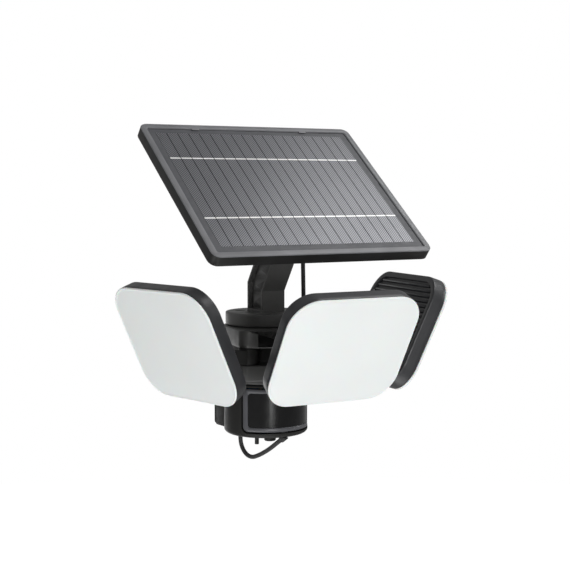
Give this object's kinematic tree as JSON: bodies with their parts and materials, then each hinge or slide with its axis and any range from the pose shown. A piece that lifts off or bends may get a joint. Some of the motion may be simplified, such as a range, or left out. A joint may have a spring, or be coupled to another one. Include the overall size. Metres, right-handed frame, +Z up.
{
  "type": "solar flood light",
  "caption": "Wall-mounted solar flood light: adjustable lamp heads round a sensor body, with a tilting, swivelling solar panel above.",
  "frame": {"origin": "middle of the wall plate's width on its back face, 30 mm below the plate's top edge", "axes": "+Y out of the back face into the wall, -Y to the front, +Z up, +X to the right seen from the front"},
  "size_m": [0.3048, 0.2162, 0.3204],
  "materials": {
    "charcoal_plastic": "fine-textured charcoal moulded plastic",
    "panel_grey": "satin mid-grey moulded plastic",
    "bezel_grey": "satin grey plastic strip",
    "milky_diffuser": "milky translucent diffuser, smooth",
    "sensor_pane": "dark glossy infrared window",
    "solar_cells": "laminated cell strips under a clear sheet",
    "rubber": "black flexible rubber",
    "board": "green circuit board",
    "white_board": "white LED board",
    "cell_wrap": "blue heat-shrink wrap",
    "steel": "plain zinc-plated steel"
  },
  "bodies": {
    "root": {"wall_plate": "charcoal_plastic", "rear_box": "charcoal_plastic", "sensor_housing": "charcoal_plastic", "neck_gasket": "rubber", "hub_lower": "charcoal_plastic", "hub_upper": "charcoal_plastic", "sensor_bezel": "bezel_grey", "sensor_window": "sensor_pane", "pir_sensor": "steel", "control_board": "board", "battery_holder": "charcoal_plastic", "battery_cell_left": "cell_wrap", "battery_cell_right": "cell_wrap", "dc_jack": "rubber", "dc_plug": "rubber", "swivel_pin": "steel", "middle_pan_pin": "steel", "left_pan_pin": "steel", "right_pan_pin": "steel", "lead_lower": "rubber"},
    "middle_arm": {"middle_head_arm": "charcoal_plastic", "middle_tilt_pin": "steel"},
    "middle_head": {"middle_head_housing": "charcoal_plastic", "middle_diffuser_lens": "milky_diffuser", "middle_led_board": "white_board"},
    "left_arm": {"left_head_arm": "charcoal_plastic", "left_tilt_pin": "steel"},
    "left_head": {"left_head_housing": "charcoal_plastic", "left_diffuser_lens": "milky_diffuser", "left_led_board": "white_board"},
    "right_arm": {"right_head_arm": "charcoal_plastic", "right_tilt_pin": "steel"},
    "right_head": {"right_head_housing": "charcoal_plastic", "right_diffuser_lens": "milky_diffuser", "right_led_board": "white_board"},
    "power_button": {"power_button": "charcoal_plastic"},
    "time_knob": {"time_knob": "charcoal_plastic"},
    "panel_turret": {"panel_cap": "charcoal_plastic", "panel_arm": "charcoal_plastic", "lead_clip": "charcoal_plastic", "hinge_bolt": "steel", "lead_upper": "rubber"},
    "hinge_knob": {"hinge_knob": "charcoal_plastic"},
    "solar_panel": {"panel_frame": "panel_grey", "solar_laminate": "solar_cells", "panel_bracket": "charcoal_plastic", "junction_box": "charcoal_plastic", "lead_gland": "rubber"}
  },
  "joints": [
    {"name": "middle_pan", "type": "hinge", "parent": "root", "child": "middle_arm", "pos_m": [0, -0.101, 0.0245], "axis": [0, 0, 1], "range_deg": [-12, 12]},
    {"name": "middle_tilt", "type": "hinge", "parent": "middle_arm", "child": "middle_head", "pos_m": [-0.00149, -0.14848, 0.0245], "axis": [0.9995, -0.0314, 0], "range_deg": [-22, 15]},
    {"name": "left_pan", "type": "hinge", "parent": "root", "child": "left_arm", "pos_m": [-0.03796, -0.08354, 0.0245], "axis": [0, 0, 1], "range_deg": [-25, 8]},
    {"name": "left_tilt", "type": "hinge", "parent": "left_arm", "child": "left_head", "pos_m": [-0.08477, -0.09162, 0.0245], "axis": [0.1702, -0.9854, 0], "range_deg": [-22, 15]},
    {"name": "right_pan", "type": "hinge", "parent": "root", "child": "right_arm", "pos_m": [0.03796, -0.08354, 0.0245], "axis": [0, 0, 1], "range_deg": [-8, 25]},
    {"name": "right_tilt", "type": "hinge", "parent": "right_arm", "child": "right_head", "pos_m": [0.0848, -0.09146, 0.0245], "axis": [0.1668, 0.986, 0], "range_deg": [-22, 15]},
    {"name": "panel_swivel", "type": "hinge", "parent": "root", "child": "panel_turret", "pos_m": [0, -0.051, 0.0495], "axis": [0, 0, 1], "range_deg": [-35, 35], "deforming": ["lead_lower"]},
    {"name": "panel_tilt", "type": "hinge", "parent": "panel_turret", "child": "solar_panel", "pos_m": [0, -0.089, 0.1455], "axis": [1, 0, 0], "range_deg": [-39, 22], "deforming": ["lead_upper"]},
    {"name": "hinge_knob_turn", "type": "hinge", "parent": "panel_turret", "child": "hinge_knob", "pos_m": [0.022, -0.089, 0.1455], "axis": [1, 0, 0], "range_deg": [0, 270]},
    {"name": "power_button_push", "type": "slide", "parent": "root", "child": "power_button", "axis": [0, 0, 1], "range_m": [0, 0.002], "stiffness_N_per_m": 300, "springref_m": -0.001},
    {"name": "time_knob_turn", "type": "hinge", "parent": "root", "child": "time_knob", "pos_m": [0.0046, -0.051, -0.06], "axis": [0, 0, 1], "range_deg": [-135, 135]}
  ]
}
